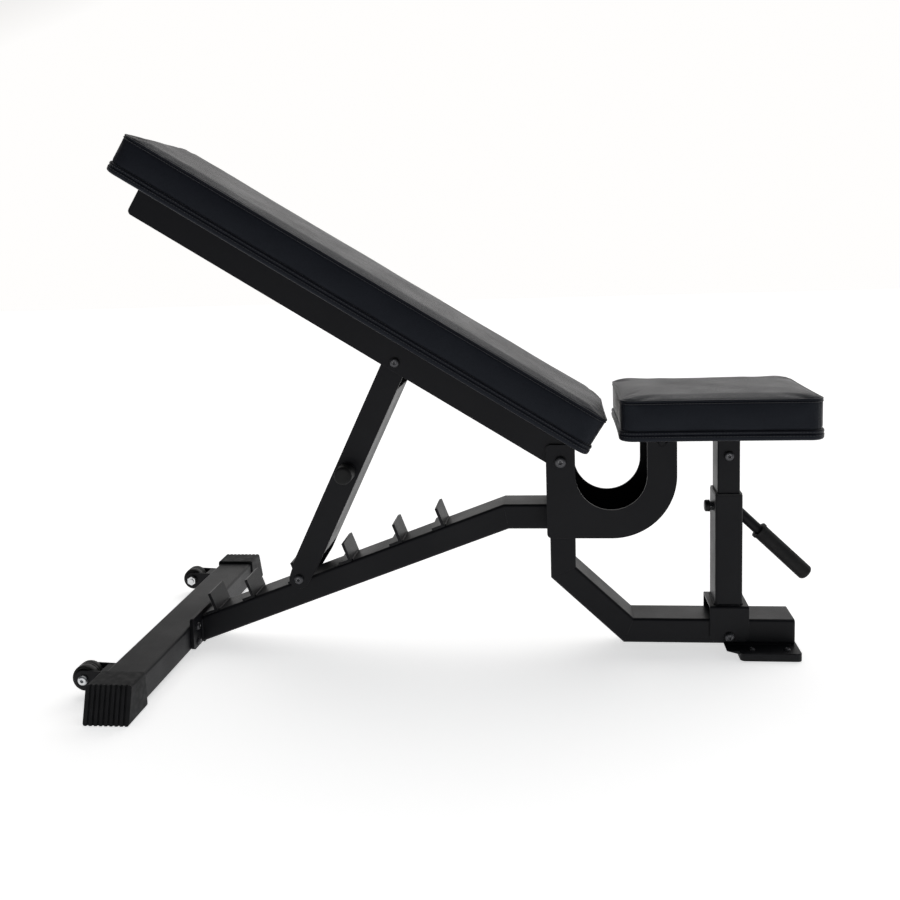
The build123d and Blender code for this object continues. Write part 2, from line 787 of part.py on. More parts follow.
for sign, name in ((1, "strut_grip_left"), (-1, "strut_grip_right")):
    with BuildPart() as strut_grip:
        with BuildSketch(strut_side(sign * strut_w / 2)):
            with Locations((grip_along, 0)):
                Circle(grip_d / 2)
        extrude(amount=sign * grip_length)
        fillet(strut_grip.faces().sort_by(Axis.Y)[-1 if sign > 0 else 0].edges(), 5)
        with BuildSketch(strut_side(sign * strut_w / 2)):
            with Locations((grip_along, 0)):
                Circle(grip_tube_d / 2 + hole_gap)
        extrude(amount=sign * (grip_length - 5 + hole_gap), mode=Mode.SUBTRACT)
    strut_grip.part.label = name
    export_step(strut_grip.part, f"parts/{name}.step")


# --- Seat ------------------------------------------------------------------------------

seat_plate_z = seat_bottom_z - seat_plate_t
seat_plate_l = seat_plate_front_x - seat_plate_rear_x
seat_plate_mid = (seat_plate_front_x + seat_plate_rear_x) / 2
seat_screw_points = [
    (x, y)
    for x in (seat_pivot_x + arm_w, seat_plate_front_x - 16)
    for y in (-seat_plate_w / 2 + 16, seat_plate_w / 2 - 16)
]
with BuildPart() as seat_plate:
    with BuildSketch(Plane.XY.offset(seat_plate_z)):
        with Locations((seat_plate_mid, 0)):
            RectangleRounded(seat_plate_l, seat_plate_w, 8)
        with Locations(*seat_screw_points):
            Circle(4 + hole_gap, mode=Mode.SUBTRACT)
    extrude(amount=seat_plate_t)
seat_plate.part.label = "seat_plate"
export_step(seat_plate.part, "parts/seat_plate.step")

seat_lug_in_y = seat_plate_w / 2 - seat_lug_t
with BuildPart() as seat_lugs:
    for sign in (1, -1):
        with BuildSketch(side(sign * seat_lug_in_y)):
            with Locations((seat_pivot_x, seat_pivot_z)):
                Circle(seat_lug_r)
                Rectangle(
                    2 * seat_lug_r,
                    seat_plate_z - seat_pivot_z,
                    align=(Align.CENTER, Align.MIN),
                )
            with Locations((seat_pivot_x, seat_plate_z)):
                Rectangle(3 * seat_lug_r, seat_lug_r, align=(Align.CENTER, Align.MIN), mode=Mode.SUBTRACT)
            with Locations((seat_pivot_x, seat_pivot_z)):
                Circle(seat_pin_d / 2 + hole_gap, mode=Mode.SUBTRACT)
        extrude(amount=-sign * seat_lug_t)
seat_lugs.part.label = "seat_lugs"
export_step(seat_lugs.part, "parts/seat_lugs.step")

with BuildPart() as seat_pin:
    with BuildSketch(side(0)):
        with Locations((seat_pivot_x, seat_pivot_z)):
            Circle(seat_pin_d / 2)
    extrude(amount=bracket_w / 2, both=True)
    chamfer(seat_pin.edges().filter_by(GeomType.CIRCLE), 0.8)
seat_pin.part.label = "seat_pin"
export_step(seat_pin.part, "parts/seat_pin.step")

under_screws = []
for x, y in seat_screw_points:
    under_screws.append(screw(Plane(origin=(x, y, seat_plate_z), z_dir=(0, 0, -1)), 8, 13))
with BuildPart() as seat_screws:
    add(under_screws)
seat_screws.part.label = "seat_screws"
export_step(seat_screws.part, "parts/seat_screws.step")

seat_l = seat_front_x - seat_rear_x
seat_mid = (seat_front_x + seat_rear_x) / 2
with BuildPart() as seat_board:
    with BuildSketch(Plane.XY.offset(seat_bottom_z)):
        with Locations((seat_mid, 0)):
            RectangleRounded(seat_l - 2 * board_inset - 20, pad_width - 2 * board_inset, 24)
        with Locations(*seat_screw_points):
            Circle(4 + hole_gap, mode=Mode.SUBTRACT)
    extrude(amount=board_t)
seat_board.part.label = "seat_board"
export_step(seat_board.part, "parts/seat_board.step")

with BuildPart() as seat_pad:
    with BuildSketch(Plane.XY.offset(seat_bottom_z)):
        with Locations((seat_mid, 0)):
            RectangleRounded(seat_l, pad_width, pad_corner_r)
    extrude(amount=pad_t)
    with BuildSketch(side(0)):
        with Locations((seat_mid, seat_bottom_z + pad_t / 2)):
            seat_profile = Rectangle(seat_l, pad_t)
        fillet(seat_profile.vertices().group_by(Axis.Y)[0].sort_by(Axis.X)[0], 35)
        fillet(seat_profile.vertices().group_by(Axis.Y)[-1], 18)
    extrude(amount=pad_width, both=True, mode=Mode.INTERSECT)
    with BuildSketch(Plane.XY.offset(seat_bottom_z)):
        with Locations((seat_mid, 0)):
            RectangleRounded(
                seat_l - 2 * board_inset - 20 + 2 * soft_gap,
                pad_width - 2 * board_inset + 2 * soft_gap,
                24 + soft_gap,
            )
    extrude(amount=board_t + soft_gap, mode=Mode.SUBTRACT)
seat_pad.part.label = "seat_pad"
export_step(seat_pad.part, "parts/seat_pad.step")

# A lug under the seat plate hangs in the open top of the inner post. Its slot is
# longer than the bolt, because the linkage is opened here.
with BuildPart() as post_lug:
    with BuildSketch(side(0)):
        with Locations((seat_post_x, post_bolt_z)):
            Circle(post_lug_x / 2)
            Rectangle(post_lug_x, seat_plate_z - post_bolt_z, align=(Align.CENTER, Align.MIN))
        with Locations((seat_post_x, post_bolt_z)):
            SlotCenterToCenter(pivot_slot_play, post_bolt_d + 2 * pivot_slot_play, mode=Mode.SUBTRACT)
    extrude(amount=post_lug_y / 2, both=True)
post_lug.part.label = "post_lug"
export_step(post_lug.part, "parts/post_lug.step")


# --- Seat post: saddle, sleeve and inner tube ------------------------------------------

saddle_in_y = tube_w / 2 + saddle_gap
with BuildPart() as saddle:
    with BuildSketch(Plane.YZ.offset(seat_post_x - saddle_l / 2)):
        with BuildLine():
            Polyline(
                (-saddle_in_y, saddle_low_z),
                (-saddle_in_y, saddle_top_z - saddle_t),
                (saddle_in_y, saddle_top_z - saddle_t),
                (saddle_in_y, saddle_low_z),
            )
            offset(amount=saddle_t, side=Side.LEFT)
        make_face()
    extrude(amount=saddle_l)
    with BuildSketch(side(0)):
        with Locations((seat_post_x, base_bolt_z)):
            Circle(base_bolt_d / 2 + run_gap)
    extrude(amount=tube_w, both=True, mode=Mode.SUBTRACT)
    lower = saddle.edges().filter_by(Axis.Y).group_by(Axis.Z)[0]
    chamfer(lower, 8)
saddle.part.label = "saddle"
export_step(saddle.part, "parts/saddle.step")

base_pieces = through_bolt(seat_post_x, base_bolt_z, saddle_in_y + saddle_t + contact_gap, base_bolt_d)
with BuildPart() as base_bolt:
    add(base_pieces)
base_bolt.part.label = "base_bolt"
export_step(base_bolt.part, "parts/base_bolt.step")

sleeve_in_x = sleeve_x - 2 * sleeve_wall
sleeve_in_y = sleeve_y - 2 * sleeve_wall
pin_hole_r = pin_d / 2 + run_gap
with BuildPart() as post_sleeve:
    with BuildSketch(Plane.XY.offset(saddle_top_z)):
        with Locations((seat_post_x, 0)):
            RectangleRounded(sleeve_x, sleeve_y, 5)
            RectangleRounded(sleeve_in_x, sleeve_in_y, 5 - sleeve_wall, mode=Mode.SUBTRACT)
    extrude(amount=sleeve_top_z - saddle_top_z)
    with BuildSketch(Plane.YZ.offset(seat_post_x)):
        with Locations((0, pin_z)):
            Circle(pin_hole_r)
    extrude(amount=-sleeve_x, mode=Mode.SUBTRACT)
post_sleeve.part.label = "post_sleeve"
export_step(post_sleeve.part, "parts/post_sleeve.step")

bush_x = sleeve_in_x - 2 * bush_wall
bush_y = sleeve_in_y - 2 * bush_wall
with BuildPart() as post_bush:
    with BuildSketch(Plane.XY.offset(sleeve_top_z - bush_length)):
        with Locations((seat_post_x, 0)):
            RectangleRounded(sleeve_in_x - 2 * hole_gap, sleeve_in_y - 2 * hole_gap, 5 - sleeve_wall)
    extrude(amount=bush_length)
    with BuildSketch(Plane.XY.offset(sleeve_top_z)):
        with Locations((seat_post_x, 0)):
            RectangleRounded(sleeve_x - 1, sleeve_y - 1, 5)
    extrude(amount=bush_flange_t)
    with BuildSketch(Plane.XY.offset(sleeve_top_z - bush_length)):
        with Locations((seat_post_x, 0)):
            RectangleRounded(bush_x, bush_y, 3)
    extrude(amount=bush_length + bush_flange_t, mode=Mode.SUBTRACT)
post_bush.part.label = "post_bush"
export_step(post_bush.part, "parts/post_bush.step")

inner_x = bush_x - 2 * slide_gap
inner_y = bush_y - 2 * slide_gap
lift_pitch = 17
with BuildPart() as inner_post:
    with BuildSketch(Plane.XY.offset(post_low_end_z)):
        with Locations((seat_post_x, 0)):
            RectangleRounded(inner_x, inner_y, 3)
            Rectangle(inner_x - 2 * post_wall, inner_y - 2 * post_wall, mode=Mode.SUBTRACT)
    extrude(amount=post_top_z - post_low_end_z)
    with BuildSketch(side(0)):
        with Locations((seat_post_x, post_bolt_z)):
            Circle(post_bolt_d / 2 + hole_gap)
    extrude(amount=inner_y, both=True, mode=Mode.SUBTRACT)
    with BuildSketch(Plane.YZ.offset(seat_post_x)):
        for row in range(3):
            with Locations((0, pin_z - row * lift_pitch)):
                Circle(pin_d / 2 + slide_gap)
    extrude(amount=-inner_x, mode=Mode.SUBTRACT)
inner_post.part.label = "inner_post"
export_step(inner_post.part, "parts/inner_post.step")

post_pieces = through_bolt(seat_post_x, post_bolt_z, inner_y / 2, post_bolt_d)
with BuildPart() as post_bolt:
    add(post_pieces)
post_bolt.part.label = "post_bolt"
export_step(post_bolt.part, "parts/post_bolt.step")

sleeve_rear_x = seat_post_x - sleeve_x / 2
with BuildPart() as pin_housing:
    with BuildSketch(Plane.YZ.offset(sleeve_rear_x)):
        with Locations((0, pin_z)):
            RegularPolygon(pin_housing_d / 2, 6)
            Circle(pin_hole_r, mode=Mode.SUBTRACT)
    extrude(amount=-pin_housing_l)
pin_housing.part.label = "pin_housing"
export_step(pin_housing.part, "parts/pin_housing.step")

pin_nose_x = seat_post_x - inner_x / 2 - pin_nose_gap
knob_face_x = sleeve_rear_x - pin_housing_l - contact_gap
with BuildPart() as pull_pin:
    with BuildSketch(Plane.YZ.offset(pin_nose_x)):
        with Locations((0, pin_z)):
            Circle(pin_d / 2)
    extrude(amount=knob_face_x - pin_nose_x)
    with BuildSketch(Plane.YZ.offset(knob_face_x)):
        with Locations((0, pin_z)):
            Circle(knob_d / 2)
    extrude(amount=-knob_l)
    fillet(pull_pin.faces().sort_by(Axis.X)[0].edges(), 3)
pull_pin.part.label = "pull_pin"
export_step(pull_pin.part, "parts/pull_pin.step")

# The carry handle is a bare tube welded to the sleeve, with a rubber grip on its end.
handle_dir = (cos(radians(handle_angle)), 0, -sin(radians(handle_angle)))
handle_start = Plane(
    origin=(seat_post_x + sleeve_x / 2, 0, handle_z),
    x_dir=(0, 1, 0),
    z_dir=handle_dir,
)
with BuildPart() as handle_tube:
    with BuildSketch(handle_start.offset(-handle_d)):
        Circle(handle_d / 2)
    extrude(amount=handle_d + handle_bare + handle_grip_l - 8)
    split(bisect_by=Plane.YZ.offset(seat_post_x + sleeve_x / 2), keep=Keep.TOP)
handle_tube.part.label = "handle_tube"
export_step(handle_tube.part, "parts/handle_tube.step")

with BuildPart() as handle_grip:
    with BuildSketch(handle_start.offset(handle_bare)):
        Circle(handle_grip_d / 2)
    extrude(amount=handle_grip_l)
    tip = Axis(handle_start.origin, handle_start.z_dir)
    fillet(handle_grip.faces().sort_by(tip)[-1].edges(), 6)
    with BuildSketch(handle_start.offset(handle_bare)):
        Circle(handle_grip_d / 2 + 1.5)
    extrude(amount=4)
    with BuildSketch(handle_start.offset(handle_bare)):
        Circle(handle_d / 2 + hole_gap)
    extrude(amount=handle_grip_l - 8 + hole_gap, mode=Mode.SUBTRACT)
handle_grip.part.label = "handle_grip"
export_step(handle_grip.part, "parts/handle_grip.step")
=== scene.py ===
import math

import bmesh
import bpy
import numpy as np
from mathutils import Matrix, Vector


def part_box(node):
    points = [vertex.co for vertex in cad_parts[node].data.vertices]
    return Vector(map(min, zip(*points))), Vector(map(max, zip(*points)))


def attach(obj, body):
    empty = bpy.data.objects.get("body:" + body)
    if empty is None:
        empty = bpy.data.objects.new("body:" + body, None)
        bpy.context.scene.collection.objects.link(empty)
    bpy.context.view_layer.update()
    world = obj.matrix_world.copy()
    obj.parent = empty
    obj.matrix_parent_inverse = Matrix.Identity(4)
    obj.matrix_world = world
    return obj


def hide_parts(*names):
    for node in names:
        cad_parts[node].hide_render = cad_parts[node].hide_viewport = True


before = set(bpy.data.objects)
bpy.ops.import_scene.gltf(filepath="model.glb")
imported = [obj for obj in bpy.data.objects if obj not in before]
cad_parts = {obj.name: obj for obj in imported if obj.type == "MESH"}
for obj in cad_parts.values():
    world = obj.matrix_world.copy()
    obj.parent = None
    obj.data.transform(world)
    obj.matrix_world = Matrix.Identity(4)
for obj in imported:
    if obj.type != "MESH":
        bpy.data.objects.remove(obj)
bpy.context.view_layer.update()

# --- Powder-coated frame ---------------------------------------------------------------
# The frame, backrest rails, strut, seat plate and sleeve are welded mild steel tube and
# plate, blasted and then sprayed with a satin black polyester powder and baked. The coat
# has a faint orange-peel skin, pulls thin on sharp edges and rubs to a shine there.

MM = 0.001


def shader_node(tree, kind, sockets=(), **settings):
    """Adds one node and sets its properties and the plain values of its sockets."""
    made = tree.nodes.new(kind)
    for key, value in settings.items():
        setattr(made, key, value)
    for key, value in dict(sockets).items():
        made.inputs[key].default_value = value
    return made


def new_finish(name, **sockets):
    """A node material; returns it with its tree, its surface shader and the object coordinates."""
    finish = bpy.data.materials.new(name)
    finish.use_nodes = True
    tree = finish.node_tree
    surface = tree.nodes["Principled BSDF"]
    for key, value in sockets.items():
        surface.inputs[key.replace("_", " ")].default_value = value
    place = shader_node(tree, "ShaderNodeTexCoord").outputs["Object"]
    return finish, tree, surface, place


def grain(tree, place, scale, detail=3, roughness=0.55):
    """Noise with the given number of lumps to the metre."""
    settings = {"Scale": scale, "Detail": detail, "Roughness": roughness}
    made = shader_node(tree, "ShaderNodeTexNoise", settings)
    tree.links.new(place, made.inputs["Vector"])
    return made.outputs["Fac"]


def spread(tree, fac, low, high, start=0.35, end=0.65):
    """Stretches a 0-1 pattern to run from low to high."""
    settings = {"From Min": start, "From Max": end, "To Min": low, "To Max": high}
    made = shader_node(tree, "ShaderNodeMapRange", settings)
    tree.links.new(fac, made.inputs["Value"])
    return made.outputs["Result"]


def blend_colours(tree, fac, first, second):
    """Mixes from the first colour to the second by a 0-1 pattern."""
    made = shader_node(tree, "ShaderNodeValToRGB")
    made.color_ramp.elements[0].color = (*first, 1)
    made.color_ramp.elements[1].color = (*second, 1)
    tree.links.new(fac, made.inputs["Fac"])
    return made.outputs["Color"]


def relief(tree, height, distance, strength=1.0, normal=None):
    """Turns a height pattern into a bump of the given depth in metres."""
    made = shader_node(tree, "ShaderNodeBump", {"Strength": strength, "Distance": distance})
    tree.links.new(height, made.inputs["Height"])
    if normal is not None:
        tree.links.new(normal, made.inputs["Normal"])
    return made.outputs["Normal"]


def soft_edges(tree, radius):
    """Rounds the shading of sharp edges, and gives a mask that is 1 on such an edge."""
    rounded = shader_node(tree, "ShaderNodeBevel", {"Radius": radius}, samples=4).outputs["Normal"]
    flat = shader_node(tree, "ShaderNodeNewGeometry").outputs["Normal"]
    turn = shader_node(tree, "ShaderNodeVectorMath", operation="DOT_PRODUCT")
    tree.links.new(rounded, turn.inputs[0])
    tree.links.new(flat, turn.inputs[1])
    return rounded, spread(tree, turn.outputs["Value"], 1.0, 0.0, 0.80, 0.985)


def powder_coat():
    """Satin black powder: lumpy skin 0.8 mm across, cloudy sheen, and paler rubbed edges."""
    finish, tree, surface, place = new_finish("satin_powder_coat", Specular_IOR_Level=0.14)
    rounded, edge = soft_edges(tree, 1.1 * MM)
    cloud = grain(tree, place, 9, 4)
    speck = grain(tree, place, 2600, 2)
    rub = shader_node(tree, "ShaderNodeMath", operation="MULTIPLY")
    tree.links.new(edge, rub.inputs[0])
    tree.links.new(spread(tree, grain(tree, place, 60, 4), 0.1, 1.0, 0.42, 0.62), rub.inputs[1])
    paint = blend_colours(tree, spread(tree, speck, 0, 1), (0.0066, 0.0068, 0.0086), (0.0105, 0.0106, 0.0124))
    worn = shader_node(tree, "ShaderNodeMix", data_type="RGBA")
    tree.links.new(rub.outputs[0], worn.inputs[0])
    tree.links.new(paint, worn.inputs[6])
    worn.inputs[7].default_value = (0.045, 0.044, 0.044, 1)
    tree.links.new(worn.outputs[2], surface.inputs["Base Color"])
    tree.links.new(spread(tree, cloud, 0.36, 0.47), surface.inputs["Roughness"])
    skin = relief(tree, grain(tree, place, 1150, 2), 0.00022, 0.55, rounded)
    tree.links.new(skin, surface.inputs["Normal"])
    return finish


def dress(finish, *nodes):
    """Gives CAD nodes a finish in their own material slots."""
    for node in nodes:
        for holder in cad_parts[node].material_slots:
            holder.material = finish


coat = powder_coat()
dress(coat, "spine_tube", "level_tube", "post_tube", "diagonal_tube", "front_tube", "ladder_teeth")
dress(coat, "rear_tube", "end_flange", "wheel_brackets", "foot_plate", "u_plate_left", "u_plate_right")
dress(coat, "u_outer_strip", "u_fillers", "back_rail_left", "back_rail_right")
dress(coat, "back_pivot_tube", "back_plate_lower", "back_plate_middle", "back_plate_upper")
dress(coat, "strut_plate_left", "strut_plate_right", "strut_web", "grip_tube", "seat_plate", "seat_lugs")
dress(coat, "post_lug", "saddle", "post_sleeve", "inner_post", "handle_tube", "seat_pin")


# --- Weld beads ------------------------------------------------------------------------
# The teeth, flange, bracket, sleeve and handle are MIG welded before coating, so each
# joint has a bead of overlapped puddles under the powder, about 4 mm across the toes.

def grid_faces(rows, columns, closed_rows=False, closed_columns=False):
    """Quads between neighbouring points of a grid that is numbered row by row."""
    r = np.arange(rows if closed_rows else rows - 1)[:, None]
    c = np.arange(columns if closed_columns else columns - 1)[None, :]
    below, right = (r + 1) % rows, (c + 1) % columns
    corners = (r * columns + c, r * columns + right, below * columns + right, below * columns + c)
    return np.stack(np.broadcast_arrays(*corners), -1).reshape(-1, 4)


def new_piece(name, points, faces, finish, smooth=True):
    """A mesh object from an array of points and faces. Points that coincide are merged, and the
    normals of each closed shell are turned outwards."""
    mesh = bpy.data.meshes.new(name)
    corners = [list(map(int, face)) for face in faces]
    mesh.from_pydata(np.asarray(points, float).reshape(-1, 3).tolist(), [], corners)
    sewn = bmesh.new()
    sewn.from_mesh(mesh)
    bmesh.ops.remove_doubles(sewn, verts=sewn.verts, dist=1e-6)
    bmesh.ops.recalc_face_normals(sewn, faces=sewn.faces)
    sewn.to_mesh(mesh)
    sewn.free()
    mesh.polygons.foreach_set("use_smooth", np.full(len(mesh.polygons), smooth))
    mesh.materials.append(finish)
    mesh.update()
    piece = bpy.data.objects.new(name, mesh)
    bpy.context.scene.collection.objects.link(piece)
    return piece


def even_path(corners, pitch):
    """Points every pitch along straight runs between the corners."""
    corners = np.asarray(corners, float)
    lengths = np.linalg.norm(np.diff(corners, axis=0), axis=1)
    station = np.r_[0, np.cumsum(lengths)]
    at = np.linspace(0, station[-1], max(4, int(station[-1] / pitch)))
    return np.stack([np.interp(at, station, corners[:, k]) for k in range(3)], 1)


def weld_bead(corners, up, radius=2.1 * MM):
    """A ring of 8 points carried along a path. Its radius is the bead's size times one plus a
    saw of 12 % every 3.2 mm, for the puddles, and falls to nothing at both ends."""
    path = even_path(corners, 0.8 * MM)
    ahead = np.gradient(path, axis=0)
    ahead /= np.linalg.norm(ahead, axis=1)[:, None]
    up = np.broadcast_to(np.asarray(up, float), path.shape)
    across = np.cross(ahead, up)
    across /= np.linalg.norm(across, axis=1)[:, None]
    station = np.arange(len(path)) * 0.8
    puddle = 1 + 0.12 * (1 - 2 * np.mod(station / 3.2, 1)) + 0.05 * np.sin(station * 0.37)
    closing = np.minimum(1, np.minimum(station, station[::-1]) / 2.4)
    size = radius * puddle * np.sqrt(closing)
    turn = np.linspace(0, 2 * np.pi, 8, endpoint=False)
    ring = np.cos(turn)[None, :, None] * across[:, None] + np.sin(turn)[None, :, None] * up[:, None]
    points = path[:, None] + ring * size[:, None, None]
    return points.reshape(-1, 3), grid_faces(len(path), 8, closed_columns=True)


def gather(shapes):
    """Joins lists of points and faces into one."""
    points, faces, start = [], [], 0
    for shape_points, shape_faces in shapes:
        points.append(shape_points)
        faces.extend((np.asarray(f) + start) for f in shape_faces)
        start += len(shape_points)
    return np.concatenate(points), faces


def weld_piece(name, body, beads):
    """All the beads on one body, as one piece under the powder coat."""
    piece = new_piece(name, *gather(beads), coat)
    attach(piece, body)
    return piece


def rectangle_beads(centre, half_u, half_v, u, v, inset=0.003):
    """Four beads round a rectangle with half sizes along the unit vectors u and v."""
    centre, u, v = (np.asarray(each, float) for each in (centre, u, v))
    normal = np.cross(u, v)
    beads = []
    for sign in (-1, 1):
        side = centre + sign * half_v * v
        beads.append(weld_bead([side - (half_u - inset) * u, side + (half_u - inset) * u], normal))
        side = centre + sign * half_u * u
        beads.append(weld_bead([side - (half_v - inset) * v, side + (half_v - inset) * v], normal))
    return beads


def middle(node):
    """The centre of a CAD node's box."""
    low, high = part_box(node)
    return np.array((low + high) / 2)


X_AXIS, Y_AXIS, Z_AXIS = np.eye(3)

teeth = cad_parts["ladder_teeth"].data
tooth_points = np.empty(len(teeth.vertices) * 3)
teeth.vertices.foreach_get("co", tooth_points)
tooth_points = tooth_points.reshape(-1, 3)
spine_slope = math.radians(20.5)
spine_run = np.array([-math.cos(spine_slope), 0, -math.sin(spine_slope)])
spine_up = np.array([spine_run[2], 0, -spine_run[0]])
tooth_height = tooth_points @ spine_up
ladder_level = tooth_height.min()
foot_marks = np.sort((tooth_points[tooth_height < ladder_level + 0.5 * MM] @ spine_run))
gaps = np.nonzero(np.diff(foot_marks) > 12 * MM)[0]
toe_starts = np.r_[foot_marks[0], foot_marks[gaps + 1]]
toe_ends = np.r_[foot_marks[gaps], foot_marks[-1]]
ladder_beads = []
half_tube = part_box("ladder_teeth")[1].y
for start, end in zip(toe_starts, toe_ends):
    for station in (start, end):
        spot = spine_run * station + spine_up * (ladder_level + 0.4 * MM)
        ends = [spot - Y_AXIS * (half_tube - 5 * MM), spot + Y_AXIS * (half_tube - 5 * MM)]
        ladder_beads.append(weld_bead(ends, spine_up))

flange_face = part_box("end_flange")[1].x
tube_half_w, tube_half_h = 35 * MM, 24 * MM
root_beads = ladder_beads + rectangle_beads(
    (flange_face, 0, middle("rear_tube")[2]), tube_half_w, tube_half_h, Y_AXIS, Z_AXIS)

# Beads run where the post leaves the bracket's plates, and along both sides of the front foot.
plate_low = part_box("u_plate_left")[0]
post_low, post_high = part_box("post_tube")
for sign in (-1, 1):
    y = sign * (post_high.y + 0.6 * MM)
    root_beads.append(weld_bead(
        [(post_low.x + 4 * MM, y, plate_low.z), (post_high.x - 1 * MM, y, plate_low.z)], Y_AXIS))
front_bead_x, front_bead_z, front_bead_half = post_high.x + 0.6 * MM, plate_low.z + 1.5 * MM, 32 * MM
root_beads.append(weld_bead(
    [(front_bead_x, -front_bead_half, front_bead_z), (front_bead_x, front_bead_half, front_bead_z)], X_AXIS))
foot_low, foot_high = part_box("foot_plate")
foot_bead_z = foot_high.z + 0.3 * MM
front_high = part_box("front_tube")[1]
for sign in (-1, 1):
    y = sign * (front_high.y + 0.3 * MM)
    root_beads.append(weld_bead(
        [(foot_low.x + 6 * MM, y, foot_bead_z), (front_high.x - 4 * MM, y, foot_bead_z)], Y_AXIS))
bracket_bead_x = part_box("rear_tube")[0].x - 0.4 * MM
bracket_half = 17.5 * MM
for wheel in ("wheel_left", "wheel_right"):
    for y in (middle(wheel)[1] - bracket_half, middle(wheel)[1] + bracket_half):
        root_beads.append(weld_bead(
            [(bracket_bead_x, y, 15 * MM), (bracket_bead_x, y, 46 * MM)], X_AXIS, 1.6 * MM))
weld_piece("frame_welds", "root", root_beads)

sleeve_low, sleeve_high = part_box("post_sleeve")
saddle_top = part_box("saddle")[1].z
sleeve_mid = middle("post_sleeve")
sleeve_beads = rectangle_beads(
    (sleeve_mid[0], 0, saddle_top), (sleeve_high.x - sleeve_low.x) / 2,
    (sleeve_high.y - sleeve_low.y) / 2, X_AXIS, Y_AXIS, 4 * MM)
handle_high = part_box("handle_tube")[1]
handle_slope = math.radians(44)
handle_r = handle_high.y
handle_foot_z = handle_high.z - handle_r / math.cos(handle_slope)
turn = np.linspace(0, 2 * np.pi, 40)
ring = np.stack([
    np.full_like(turn, sleeve_high.x + 0.3 * MM),
    (handle_r + 0.2 * MM) * np.cos(turn),
    handle_foot_z + (handle_r + 0.2 * MM) / math.cos(handle_slope) * np.sin(turn)], 1)
sleeve_beads.append(weld_bead(ring, X_AXIS, 1.9 * MM))
weld_piece("sleeve_welds", "sleeve", sleeve_beads)


# --- Fasteners -------------------------------------------------------------------------
# Button-head socket screws and nuts in black oxide hold the joints; the wheel bolts are
# bright zinc. All are forged and rolled steel, with light tool marks round the heads.

def black_oxide():
    """Oiled black oxide: nearly black steel with a soft sheen, and a painted highlight: the base colour is
    made pale along sharp edges to stand in for the reflection on rounded rims.
    """
    finish, tree, surface, place = new_finish("black_oxide_steel", Metallic=0.8, Specular_IOR_Level=0.5)
    rounded, edge = soft_edges(tree, 0.8 * MM)
    # Painted highlight: the edge mask lifts the base colour from near black to pale grey, standing in for
    # light caught on the rounded rims of the heads.
    tone = blend_colours(tree, spread(tree, edge, 0, 1, 0, 0.5), (0.07, 0.07, 0.075), (0.72, 0.72, 0.73))
    tree.links.new(tone, surface.inputs["Base Color"])
    tree.links.new(spread(tree, grain(tree, place, 240, 3), 0.28, 0.46), surface.inputs["Roughness"])
    tree.links.new(relief(tree, grain(tree, place, 1900, 2), 0.00008, 0.5, rounded), surface.inputs["Normal"])
    return finish


def zinc_plate():
    """Bright zinc: bluish steel with cloudy patches and fine tool marks."""
    finish, tree, surface, place = new_finish("bright_zinc", Metallic=1.0)
    rounded = soft_edges(tree, 0.5 * MM)[0]
    tone = blend_colours(tree, grain(tree, place, 160, 4), (0.50, 0.52, 0.56), (0.78, 0.78, 0.76))
    tree.links.new(tone, surface.inputs["Base Color"])
    tree.links.new(spread(tree, grain(tree, place, 420, 3), 0.20, 0.38), surface.inputs["Roughness"])
    tree.links.new(relief(tree, grain(tree, place, 2400, 2), 0.00005, 0.5, rounded), surface.inputs["Normal"])
    return finish


oxide = black_oxide()
zinc = zinc_plate()
dress(oxide, "flange_bolts", "foot_screws", "back_pivot_bolt", "base_bolt", "back_screws", "strut_bolt")
dress(oxide, "foot_pin", "foot_bolt", "seat_screws", "post_bolt", "pin_housing")
dress(zinc, "wheel_axles")


# --- Rubber feet -----------------------------------------------------------------------
# The rear tube wears two moulded rubber caps with ribbed, slanted ends, and the front
# foot stands on a rubber slab. The rubber is matt, faintly dusty and finely pitted.

def moulded_rubber(name, tone, dust, pits):
    """Matt rubber: dark compound, pale dust where the cloud pattern is high, and fine pits."""
    finish, tree, surface, place = new_finish(name, Specular_IOR_Level=0.2)
    rounded = soft_edges(tree, 0.9 * MM)[0]
    shade = blend_colours(tree, spread(tree, grain(tree, place, 45, 5), 0, 1), tone, dust)
    tree.links.new(shade, surface.inputs["Base Color"])
    tree.links.new(spread(tree, grain(tree, place, 90, 4), 0.55, 0.74), surface.inputs["Roughness"])
    tree.links.new(relief(tree, grain(tree, place, pits, 3), 0.00025, 0.6, rounded), surface.inputs["Normal"])
    return finish


foot_compound = moulded_rubber("foot_rubber_compound", (0.0075, 0.0078, 0.0088), (0.015, 0.0152, 0.0165), 900)
dress(foot_compound, "foot_rubber", "rear_cap_left", "rear_cap_right")


# --- Tilt wheels -----------------------------------------------------------------------
# Two small solid wheels behind the rear tube carry the bench when its front is lifted.
# Each is moulded nylon with a crowned tread, a sunk web and a raised hub on each side.

def turned(name, profile, centre, axis, finish, steps=64):
    """A closed profile of (along, radius) pairs, in metres, turned once round an axis."""
    profile = np.asarray(profile, float)
    axis = np.asarray(axis, float) / np.linalg.norm(axis)
    side = np.cross(axis, Y_AXIS if abs(axis[1]) < 0.9 else X_AXIS)
    side /= np.linalg.norm(side)
    other = np.cross(axis, side)
    turn = np.linspace(0, 2 * np.pi, steps, endpoint=False)
    round_it = np.cos(turn)[:, None] * side + np.sin(turn)[:, None] * other
    points = (np.asarray(centre, float) + profile[None, :, :1] * axis
              + profile[None, :, 1:] * round_it[:, None])
    return new_piece(name, points, grid_faces(steps, len(profile), True, True), finish)


